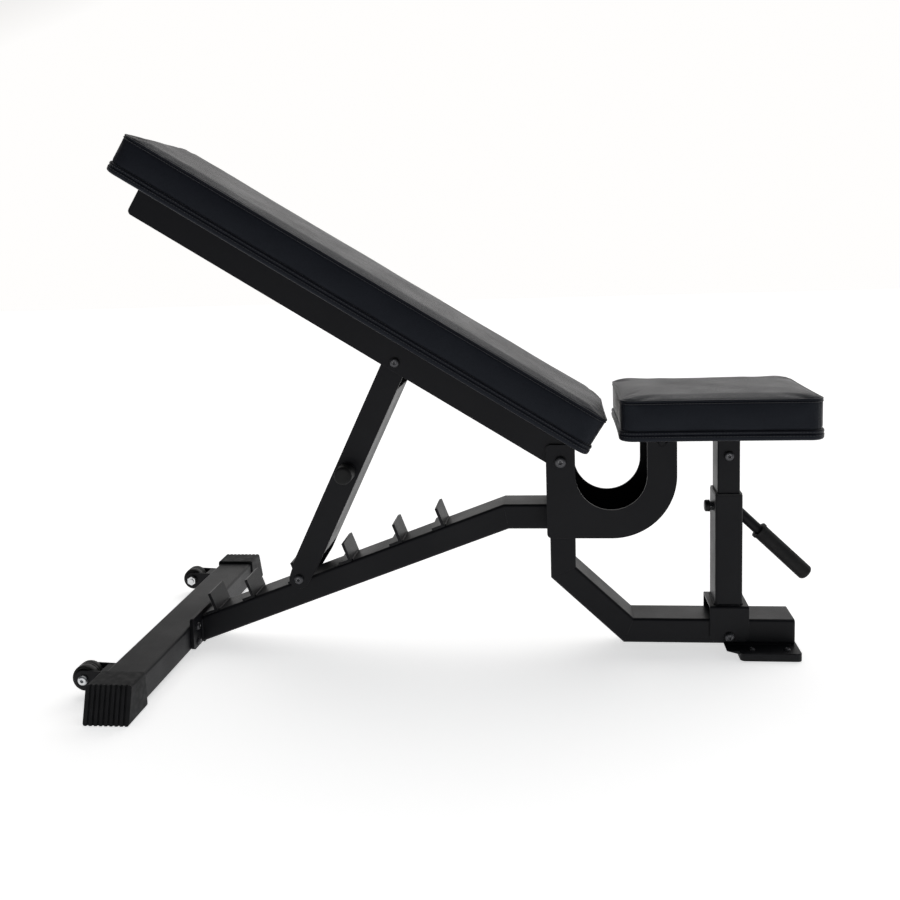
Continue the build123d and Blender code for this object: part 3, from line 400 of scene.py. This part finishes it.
def moulded_plastic(name, tone, lighter, texture):
    """Satin moulded plastic: even colour, a spark-eroded skin and slightly glossy edges."""
    finish, tree, surface, place = new_finish(name, Specular_IOR_Level=0.2)
    rounded = soft_edges(tree, 0.6 * MM)[0]
    shade = blend_colours(tree, spread(tree, grain(tree, place, 70, 3), 0, 1), tone, lighter)
    tree.links.new(shade, surface.inputs["Base Color"])
    tree.links.new(spread(tree, grain(tree, place, 150, 3), 0.36, 0.52), surface.inputs["Roughness"])
    skin = relief(tree, grain(tree, place, texture, 2), 0.00012, 0.5, rounded)
    tree.links.new(skin, surface.inputs["Normal"])
    return finish


nylon = moulded_plastic("wheel_nylon", (0.008, 0.008, 0.008), (0.014, 0.014, 0.014), 1500)
wheel_profile = [
    (0.0, 5.1), (-13.6, 5.1), (-14.0, 5.6), (-14.0, 8.4), (-13.4, 9.1), (-10.6, 9.6), (-10.2, 10.4),
    (-10.2, 15.6), (-10.6, 16.4), (-13.2, 17.0), (-14.0, 17.8), (-14.0, 19.3), (-13.2, 20.9), (-11.2, 21.7),
    (-8.0, 21.95), (-3.2, 22.0), (-2.6, 21.5), (-1.9, 21.5), (-1.3, 22.0), (0.0, 22.0),
]
wheel_profile = np.array(wheel_profile + [(-a, r) for a, r in wheel_profile[::-1][1:-1]]) * MM
for node in ("wheel_left", "wheel_right"):
    wheel = turned(node + "_moulding", wheel_profile, middle(node), Y_AXIS, nylon)
    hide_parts(node)
    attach(wheel, node)


# --- Plugs, bush, knob and grips ---------------------------------------------------------
# The tube plug, the guide bush and the pull knob are moulded black plastic; the grips on
# the strut and the carry handle are dipped rubber sleeves over bare tube.

plastic = moulded_plastic("black_moulding", (0.008, 0.008, 0.009), (0.013, 0.013, 0.014), 1900)
dress(plastic, "front_plug", "post_bush", "pull_pin")
grip_compound = moulded_rubber("grip_rubber_compound", (0.0085, 0.0085, 0.009), (0.015, 0.015, 0.015), 1600)
dress(grip_compound, "strut_grip_left", "strut_grip_right", "handle_grip")


# --- Pads --------------------------------------------------------------------------------
# Each pad is a plywood board with a block of firm foam, boxed in black grained vinyl. The
# top panel meets the side band at a welted seam, and the foot of the band is doubled over
# the board's edge, stitched twice round, turned under and stapled.

def grained_vinyl():
    """Upholstery vinyl: pebbled grain of 1.6 mm cells under a fine skin, a cloudy sheen, and
    a slightly browner tone where the cells are high."""
    finish, tree, surface, place = new_finish("grained_vinyl", Specular_IOR_Level=0.17, Sheen_Weight=0.22,
                                              Sheen_Roughness=0.3)
    surface.inputs["Sheen Tint"].default_value = (1.0, 0.94, 0.91, 1)
    surface.inputs["Specular Tint"].default_value = (0.80, 0.89, 1.0, 1)
    bend = shader_node(tree, "ShaderNodeTexNoise", {"Scale": 420, "Detail": 2})
    tree.links.new(place, bend.inputs["Vector"])
    shifted = shader_node(tree, "ShaderNodeVectorMath", operation="MULTIPLY_ADD")
    shifted.inputs[1].default_value = (0.0007, 0.0007, 0.0007)
    tree.links.new(bend.outputs["Color"], shifted.inputs[0])
    tree.links.new(place, shifted.inputs[2])
    cells = shader_node(tree, "ShaderNodeTexVoronoi", {"Scale": 620}, feature="DISTANCE_TO_EDGE")
    tree.links.new(shifted.outputs[0], cells.inputs["Vector"])
    pebble = spread(tree, cells.outputs["Distance"], 0, 1, 0.0, 0.16)
    tone = blend_colours(tree, pebble, (0.0036, 0.0040, 0.0062), (0.0076, 0.0084, 0.0128))
    tree.links.new(tone, surface.inputs["Base Color"])
    sheen = shader_node(tree, "ShaderNodeMath", operation="ADD")
    tree.links.new(spread(tree, grain(tree, place, 14, 4), 0.35, 0.45), sheen.inputs[0])
    tree.links.new(spread(tree, pebble, 0.06, 0.0, 0, 1), sheen.inputs[1])
    tree.links.new(sheen.outputs[0], surface.inputs["Roughness"])
    coarse = relief(tree, pebble, 0.00022, 0.55)
    tree.links.new(relief(tree, grain(tree, place, 3000, 2), 0.00006, 0.4, coarse), surface.inputs["Normal"])
    return finish


def waxed_thread():
    """Bonded black thread, a little paler and shinier than the vinyl, twisted every 1 mm."""
    finish, tree, surface, place = new_finish("bonded_thread", Specular_IOR_Level=0.5)
    shade = blend_colours(tree, grain(tree, place, 900, 2), (0.020, 0.020, 0.023), (0.060, 0.058, 0.058))
    tree.links.new(shade, surface.inputs["Base Color"])
    tree.links.new(spread(tree, grain(tree, place, 300, 2), 0.38, 0.55), surface.inputs["Roughness"])
    tree.links.new(relief(tree, grain(tree, place, 2200, 1), 0.0001, 0.6), surface.inputs["Normal"])
    return finish


def backing_cloth():
    """Plywood under stapled black dust cloth: a felted web of short fibres."""
    finish, tree, surface, place = new_finish("backing_cloth", Specular_IOR_Level=0.2)
    web = grain(tree, place, 700, 6, 0.7)
    tree.links.new(blend_colours(tree, spread(tree, web, 0, 1), (0.010, 0.010, 0.010), (0.030, 0.029, 0.028)),
                   surface.inputs["Base Color"])
    tree.links.new(spread(tree, web, 0.8, 0.95), surface.inputs["Roughness"])
    tree.links.new(relief(tree, web, 0.0004, 0.8), surface.inputs["Normal"])
    return finish


vinyl = grained_vinyl()
thread = waxed_thread()
dress(backing_cloth(), "back_board", "seat_board")


def pad_outline(half_l, half_w, radius, pitch=7 * MM, arc_steps=14, draw_in=1.5 * MM):
    """A rounded rectangle as points and outward normals. Its straight sides are drawn in by a
    shallow sine between the corners, as a tight cover pulls them."""
    turn = np.linspace(0, np.pi / 2, arc_steps, endpoint=False)
    points, normals = [], []
    for corner, (sign_a, sign_b) in enumerate(((1, 1), (-1, 1), (-1, -1), (1, -1))):
        angle = turn + corner * np.pi / 2
        out = np.stack([np.cos(angle), np.sin(angle)], 1)
        points.append(np.array([sign_a * (half_l - radius), sign_b * (half_w - radius)]) + radius * out)
        normals.append(out)
        quarter = (corner + 1) * np.pi / 2
        facing = np.round([np.cos(quarter), np.sin(quarter)])
        run = 2 * ((half_l - radius) if corner % 2 == 0 else (half_w - radius))
        along = np.array([-facing[1], facing[0]])
        start = np.array([sign_a * (half_l - radius), sign_b * (half_w - radius)]) + radius * facing
        at = np.linspace(0, 1, max(4, int(run / pitch)), endpoint=False)
        dip = draw_in * min(1, run / 0.25) * np.sin(np.pi * at) ** 0.8
        points.append(start + at[:, None] * run * along - dip[:, None] * facing)
        normals.append(np.broadcast_to(facing, (len(at), 2)).copy())
    return np.concatenate(points), np.concatenate(normals)


def swept_band(outline, normals, profile):
    """A closed profile of (outward, up) pairs carried once round the outline."""
    profile = np.asarray(profile, float)
    flat = outline[:, None] + profile[None, :, :1] * normals[:, None]
    up = np.broadcast_to(profile[None, :, 1:], (len(outline), len(profile), 1))
    points = np.concatenate([flat, up], -1)
    return points.reshape(-1, 3), grid_faces(len(outline), len(profile), True, True)


def stitch_row(outline, normals, outward, height, pitch=5.2 * MM, length=3.9 * MM, radius=0.42 * MM):
    """Short round-ended threads laid end to end along the outline, pushed out and up by the
    given amounts."""
    path = outline + normals * outward
    loop = np.r_[path, path[:1]]
    station = np.r_[0, np.cumsum(np.linalg.norm(np.diff(loop, axis=0), axis=1))]
    count = int(station[-1] / pitch)
    at = (np.arange(count) + 0.5) * station[-1] / count
    centre = np.stack([np.interp(at, station, loop[:, k]) for k in range(2)], 1)
    turned_normals = np.r_[normals, normals[:1]]
    out = np.stack([np.interp(at, station, turned_normals[:, k]) for k in range(2)], 1)
    out /= np.linalg.norm(out, axis=1)[:, None]
    ahead = np.stack([-out[:, 1], out[:, 0]], 1)
    along = np.array([-0.5, -0.42, 0, 0.42, 0.5]) * length
    fat = np.array([0.15, 0.75, 1, 0.75, 0.15]) * radius
    sink = np.array([0.5, 0.15, 0, 0.15, 0.5]) * radius
    turn = np.linspace(0, 2 * np.pi, 6, endpoint=False)
    outs = (np.cos(turn)[None] * fat[:, None] - sink[:, None])
    ups = np.sin(turn)[None] * fat[:, None]
    flat = (centre[:, None, None] + along[None, :, None, None] * ahead[:, None, None]
            + outs[None, :, :, None] * out[:, None, None])
    rise = np.broadcast_to((height + ups)[None, :, :, None], (count, 5, 6, 1))
    points = np.concatenate([flat, rise], -1).reshape(-1, 3)
    one = [list(f) for f in grid_faces(5, 6, closed_columns=True)]
    one += [list(range(6)), list(range(24, 30))[::-1]]
    faces = [np.asarray(f) + 30 * k for k in range(count) for f in one]
    return points, faces


def pad_shell(half_l, half_w, radius, seam_height, top_height, crown):
    """The closed form that the foam fills: rings offset from the outline up the side and over a
    quarter-round shoulder, then rings shrunk to the middle, where the top crowns as 1 - k squared."""
    outline, normals = pad_outline(half_l, half_w, radius)
    shoulder = top_height - seam_height
    turn = np.linspace(0.15, 1, 7) * np.pi / 2
    rings = [(-20 * MM, 1.5 * MM), (-9 * MM, 1.5 * MM), (-1.5 * MM, 0.4 * MM), (0, 2.0 * MM)]
    rings += [(0, height) for height in np.linspace(6 * MM, seam_height, 10)]
    rings += [(-shoulder * 0.7 * (1 - np.cos(t)), seam_height + shoulder * np.sin(t)) for t in turn]
    rows = []
    for offset, height in rings:
        rows.append(np.c_[outline + normals * offset, np.full(len(outline), height)])
    rim = rows[-1]
    for k in (0.93, 0.84, 0.72, 0.58, 0.42, 0.26, 0.12):
        rows.append(np.c_[rim[:, :2] * k, np.full(len(rim), rim[0, 2] + crown * (1 - k * k))])
    points = np.concatenate(rows)
    faces = [list(f) for f in grid_faces(len(rows), len(outline), closed_columns=True)]
    last = len(points)
    top = np.array([[0, 0, rim[0, 2] + crown]])
    bottom = np.array([[0, 0, 1.5 * MM]])
    points = np.concatenate([points, top, bottom])
    count = len(outline)
    ring = (len(rows) - 1) * count
    faces += [[ring + i, ring + (i + 1) % count, last] for i in range(count)]
    faces += [[(i + 1) % count, i, last + 1] for i in range(count)]
    return points, faces


def fill_with_foam(piece, seam_height, base_height, voxel, limit):
    """Remeshes the cover, holds its foot and its top seam, and lets pressure swell the rest. No
    point moves further than the limit. Then one subdivision is applied."""
    remesh = piece.modifiers.new("even_mesh", "REMESH")
    remesh.mode = "VOXEL"
    remesh.voxel_size = voxel
    take_shape(piece)
    count = len(piece.data.vertices)
    before = np.empty(count * 3)
    piece.data.vertices.foreach_get("co", before)
    before = before.reshape(-1, 3)
    held = piece.vertex_groups.new(name="held")
    foot = np.clip((base_height + 7 * MM - before[:, 2]) / (6 * MM), 0, 1)
    seam = np.clip(1 - np.abs(before[:, 2] - seam_height) / (5 * MM), 0, 1) * 0.8
    weight = np.maximum(foot, seam)
    for level in np.unique(np.round(weight, 1)):
        if level > 0:
            held.add(np.nonzero(np.round(weight, 1) == level)[0].tolist(), float(level), "REPLACE")
    cloth = piece.modifiers.new("swell", "CLOTH")
    cloth.settings.quality = 4
    cloth.settings.use_pressure = True
    cloth.settings.uniform_pressure_force = 4
    cloth.settings.tension_stiffness = 25
    cloth.settings.compression_stiffness = 25
    cloth.settings.bending_stiffness = 2
    cloth.settings.vertex_group_mass = "held"
    cloth.settings.effector_weights.gravity = 0
    for step in range(1, 21):
        bpy.context.scene.frame_set(step)
    swollen = piece.evaluated_get(bpy.context.evaluated_depsgraph_get()).data
    after = np.empty(count * 3)
    swollen.vertices.foreach_get("co", after)
    move = after.reshape(-1, 3) - before
    far = np.linalg.norm(move, axis=1)[:, None]
    before = before + move * np.minimum(1, limit / np.maximum(far, 1e-9))
    piece.modifiers.remove(cloth)
    bpy.context.scene.frame_set(1)
    piece.vertex_groups.clear()
    piece.data.vertices.foreach_set("co", before.ravel())
    finer = piece.modifiers.new("finer", "SUBSURF")
    finer.levels = finer.render_levels = 1
    take_shape(piece)


def take_shape(piece):
    """Replaces a piece's mesh with its modified one and removes the modifiers."""
    shape = bpy.data.meshes.new_from_object(piece.evaluated_get(bpy.context.evaluated_depsgraph_get()))
    piece.modifiers.clear()
    piece.data = shape
    shape.polygons.foreach_set("use_smooth", np.full(len(shape.polygons), True))


def pad_relief(piece, half_l, half_w, radius, seam_height, base_height):
    """Sinks the cover by 1.1 mm along the seam and 0.8 mm above the foot band, and adds hand-laid
    unevenness: 0.2 mm waves over the top and short puckers at the corners below the seam."""
    count = len(piece.data.vertices)
    points = np.empty(count * 3)
    piece.data.vertices.foreach_get("co", points)
    a, b, h = points.reshape(-1, 3).T
    core_a = np.clip(a, radius - half_l, half_l - radius)
    core_b = np.clip(b, radius - half_w, half_w - radius)
    core = np.stack([core_a, core_b], 1)
    out = np.stack([a, b], 1) - core
    reach = np.linalg.norm(out, axis=1)
    out /= np.maximum(reach, 1e-6)[:, None]
    on_side = np.clip((reach - radius + 9 * MM) / (5 * MM), 0, 1)
    angle = np.arctan2(out[:, 1], out[:, 0])
    sunk = 1.1 * MM * np.exp(-((h - seam_height) / (2.0 * MM)) ** 2)
    sunk += 0.8 * MM * np.exp(-((h - base_height) / (3.0 * MM)) ** 2)
    cornered = np.abs(np.sin(2 * angle)) ** 2
    band = np.exp(-((h - seam_height + 6 * MM) / (7 * MM)) ** 2)
    band += np.exp(-((h - base_height - 6 * MM) / (8 * MM)) ** 2)
    pucker = 0.55 * MM * cornered * band * np.sin(angle * 46 + 3 * np.sin(angle * 9))
    slack = 0.5 * MM * np.sin(a * 33 + 1.3 * np.sin(a * 11)) * np.sin(np.pi * np.clip(h / seam_height, 0, 1))
    shift = (-sunk + pucker + slack) * on_side
    wave = 0.2 * MM * (np.sin(a * 41 + 2 * np.sin(b * 30)) + np.sin(b * 57 + 1.5 * np.sin(a * 23)))
    on_top = np.clip((h - seam_height - 5 * MM) / (4 * MM), 0, 1)
    points = np.stack([a + out[:, 0] * shift, b + out[:, 1] * shift, h + wave * on_top], 1)
    piece.data.vertices.foreach_set("co", points.ravel())
    piece.data.update()


def set_down(piece, origin, along, across, up):
    """Moves a piece's mesh from the pad's own length, width and height to the bench."""
    turn = np.stack([along, across, up])
    points = np.empty(len(piece.data.vertices) * 3)
    piece.data.vertices.foreach_get("co", points)
    points = points.reshape(-1, 3) @ turn + origin
    piece.data.vertices.foreach_set("co", points.ravel())
    piece.data.update()


pad_half_w = 128.2 * MM
pad_corner_r = 22 * MM
foot_height = 16.5 * MM
foot_profile = np.array([
    (-4, 16.5), (-0.4, 16.6), (1.2, 16.2), (2.1, 15.2), (2.5, 13.6), (2.35, 12.2), (2.3, 11.2), (1.5, 10.5),
    (0.9, 10.0), (1.5, 9.5), (2.4, 8.8), (2.6, 7.6), (2.65, 5.6), (2.6, 3.2), (2.2, 1.4), (1.2, 0.0),
    (-0.4, -0.8), (-3, -1.0), (-12, -0.95), (-22.4, -1.0), (-23.0, -0.5), (-23.0, 0.3), (-4, 0.6),
]) * MM
seam_profile = np.array([
    (-2.4, 3.4), (-0.2, 3.3), (0.55, 2.8), (0.85, 2.0), (0.7, 1.1), (0.1, 0.4), (-0.5, 0.0), (0.1, -0.4),
    (0.7, -1.1), (0.85, -2.0), (0.55, -2.8), (-0.2, -3.3), (-2.4, -3.4),
]) * MM


def staple_row(outline, normals, inset, pitch=24 * MM):
    """Flat wire crowns, 9 mm long, set slightly askew round the turned-under edge."""
    path = outline - normals * inset
    loop = np.r_[path, path[:1]]
    station = np.r_[0, np.cumsum(np.linalg.norm(np.diff(loop, axis=0), axis=1))]
    count = int(station[-1] / pitch)
    at = (np.arange(count) + 0.5) * station[-1] / count
    centre = np.stack([np.interp(at, station, loop[:, k]) for k in range(2)], 1)
    facing = np.stack([np.interp(at, station, np.r_[normals, normals[:1]][:, k]) for k in range(2)], 1)
    skew = np.arctan2(facing[:, 1], facing[:, 0]) + np.pi / 2 + 0.35 * np.sin(np.arange(count) * 2.4)
    ahead = np.stack([np.cos(skew), np.sin(skew)], 1)
    side = np.stack([-ahead[:, 1], ahead[:, 0]], 1)
    along = np.array([-4.5, -4.5, -4.1, 4.1, 4.5, 4.5]) * MM
    drop = np.array([0.6, -1.1, -1.55, -1.55, -1.1, 0.6]) * MM
    wide = np.array([-0.5, 0.5, 0.5, -0.5]) * MM
    thick = np.array([-0.25, -0.25, 0.25, 0.25]) * MM
    flat = centre[:, None, None] + along[None, :, None, None] * ahead[:, None, None] \
        + wide[None, None, :, None] * side[:, None, None]
    rise = np.broadcast_to((drop[:, None] + thick[None])[None, :, :, None], (count, 6, 4, 1))
    points = np.concatenate([flat, rise], -1).reshape(-1, 3)
    one = [list(f) for f in grid_faces(6, 4, closed_columns=True)]
    one += [[3, 2, 1, 0], [20, 21, 22, 23]]
    return points, [np.asarray(f) + 24 * k for k in range(count) for f in one]


def upholster(node, body, low, high, seam_height, top_height, crown, place, voxel, limit):
    """One whole pad, in its own length, width and height, then set down on the bench."""
    half_w, radius = pad_half_w, pad_corner_r
    half_l = (high - low) / 2
    shift = (high + low) / 2
    origin, along, across, up = place
    origin = origin + along * shift
    shell = pad_shell(half_l, half_w, radius, seam_height, top_height, crown)
    cover = new_piece(node + "_cover", *shell, vinyl)
    fill_with_foam(cover, seam_height, foot_height, voxel, limit)
    pad_relief(cover, half_l, half_w, radius, seam_height, foot_height)
    fine_outline, fine_normals = pad_outline(half_l, half_w, radius, 5 * MM, 20)
    foot = new_piece(node + "_foot_band", *swept_band(fine_outline, fine_normals, foot_profile), vinyl)
    lifted = seam_profile + np.array([0, seam_height])
    welt = new_piece(node + "_welt", *swept_band(fine_outline, fine_normals, lifted), vinyl)
    rows = [stitch_row(fine_outline, fine_normals, 2.62 * MM, 6.9 * MM),
            stitch_row(fine_outline, fine_normals, 2.48 * MM, 13.1 * MM),
            stitch_row(fine_outline, fine_normals, 0.95 * MM, seam_height - 2.0 * MM)]
    stitches = new_piece(node + "_stitches", *gather(rows), thread)
    crowns = staple_row(fine_outline, fine_normals, 15 * MM)
    staples = new_piece(node + "_staples", *crowns, zinc, smooth=False)
    for piece in (cover, foot, welt, stitches, staples):
        set_down(piece, origin, along, across, up)
        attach(piece, body)
    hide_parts(node)


pivot = middle("back_pivot_tube")
back_along = middle("back_plate_upper") - middle("back_plate_lower")
back_along /= np.linalg.norm(back_along)
back_up = np.array([back_along[2], 0, -back_along[0]])
rail_top_height = 41 * MM
back_origin = pivot + back_up * rail_top_height
back_place = (back_origin, back_along, np.cross(back_up, back_along), back_up)
upholster("back_pad", "backrest", low=-25 * MM, high=916 * MM, seam_height=64.5 * MM, top_height=71 * MM,
          crown=1.5 * MM, place=back_place, voxel=5 * MM, limit=3.5 * MM)

seat_low, seat_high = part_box("seat_pad")
seat_place = (np.array([0, 0, seat_low.z]), X_AXIS, Y_AXIS, Z_AXIS)
upholster("seat_pad", "seat", low=seat_low.x, high=seat_high.x, seam_height=64 * MM, top_height=70.5 * MM,
          crown=0.8 * MM, place=seat_place, voxel=4.5 * MM, limit=3 * MM)


# --- Studio: floor, light and camera -------------------------------------------------------
# A plain pale floor runs back to a pale backdrop. A broad sun stands overhead, and the air is
# brightest beyond the bench and away from the zenith, so the near sides stay dark.

def studio_floor():
    """A pale, very slightly mottled floor sheet, 24 m square, that glows a little to lift its shade."""
    finish, tree, surface, place = new_finish("floor_paint", Roughness=0.9, Specular_IOR_Level=0.1)
    tree.links.new(blend_colours(tree, grain(tree, place, 1.2, 2), (0.90, 0.90, 0.90), (0.93, 0.93, 0.93)),
                   surface.inputs["Base Color"])
    surface.inputs["Emission Color"].default_value = (1, 1, 1, 1)
    surface.inputs["Emission Strength"].default_value = 0.62
    across_floor = np.linspace(-12, 12, 9)
    grid = np.stack(np.meshgrid(across_floor, across_floor, indexing="ij"), -1).reshape(-1, 2)
    floor = new_piece("studio_floor", np.c_[grid, np.full(len(grid), -0.0005)], grid_faces(9, 9), finish)
    floor.data.flip_normals()
    return floor


studio_floor()

world = bpy.data.worlds.new("studio_air")
world.use_nodes = True
bpy.context.scene.world = world
air = world.node_tree
split = shader_node(air, "ShaderNodeSeparateXYZ")
air.links.new(shader_node(air, "ShaderNodeTexCoord").outputs["Generated"], split.inputs[0])
behind = spread(air, split.outputs["Y"], 0.16, 1.0, -0.35, 0.45)
slant = shader_node(air, "ShaderNodeMath", {1: -0.5}, operation="MULTIPLY_ADD")
air.links.new(split.outputs["X"], slant.inputs[0])
air.links.new(split.outputs["Z"], slant.inputs[2])
overhead = spread(air, slant.outputs[0], 1.0, 0.26, 0.44, 0.66)
strength = shader_node(air, "ShaderNodeMath", operation="MULTIPLY")
air.links.new(behind, strength.inputs[0])
air.links.new(overhead, strength.inputs[1])
air.links.new(strength.outputs[0], air.nodes["Background"].inputs["Strength"])
warmth = blend_colours(air, behind, (0.84, 0.92, 1.0), (1.0, 0.99, 0.98))
air.links.new(warmth, air.nodes["Background"].inputs["Color"])

key = bpy.data.lights.new("high_key", "SUN")
key.energy = 1.0
key.angle = math.radians(70)
key.color = (1.0, 0.98, 0.96)
key_holder = bpy.data.objects.new("high_key", key)
key_holder.rotation_euler = (math.radians(-28), math.radians(8), 0)
bpy.context.scene.collection.objects.link(key_holder)

yaw, pitch, roll = -0.10460, 0.12102, -0.030885
ahead = Vector((math.sin(yaw) * math.cos(pitch), math.cos(yaw) * math.cos(pitch), -math.sin(pitch)))
right = Vector((math.cos(yaw), -math.sin(yaw), 0))
above = right.cross(ahead)
right_rolled = math.cos(roll) * right + math.sin(roll) * above
above_rolled = -math.sin(roll) * right + math.cos(roll) * above
camera_data = bpy.data.cameras.new("camera")
camera_data.lens = 38.334
camera_data.sensor_width = 36
camera_data.shift_x = -0.01008
camera_data.shift_y = -0.0928
camera = bpy.data.objects.new("camera", camera_data)
turn = Matrix((right_rolled, above_rolled, -ahead)).transposed().to_4x4()
camera.matrix_world = Matrix.Translation((-0.3555, -1.6971, 0.7207)) @ turn
bpy.context.scene.collection.objects.link(camera)
bpy.context.scene.camera = camera
bpy.context.scene.view_settings.view_transform = "Standard"
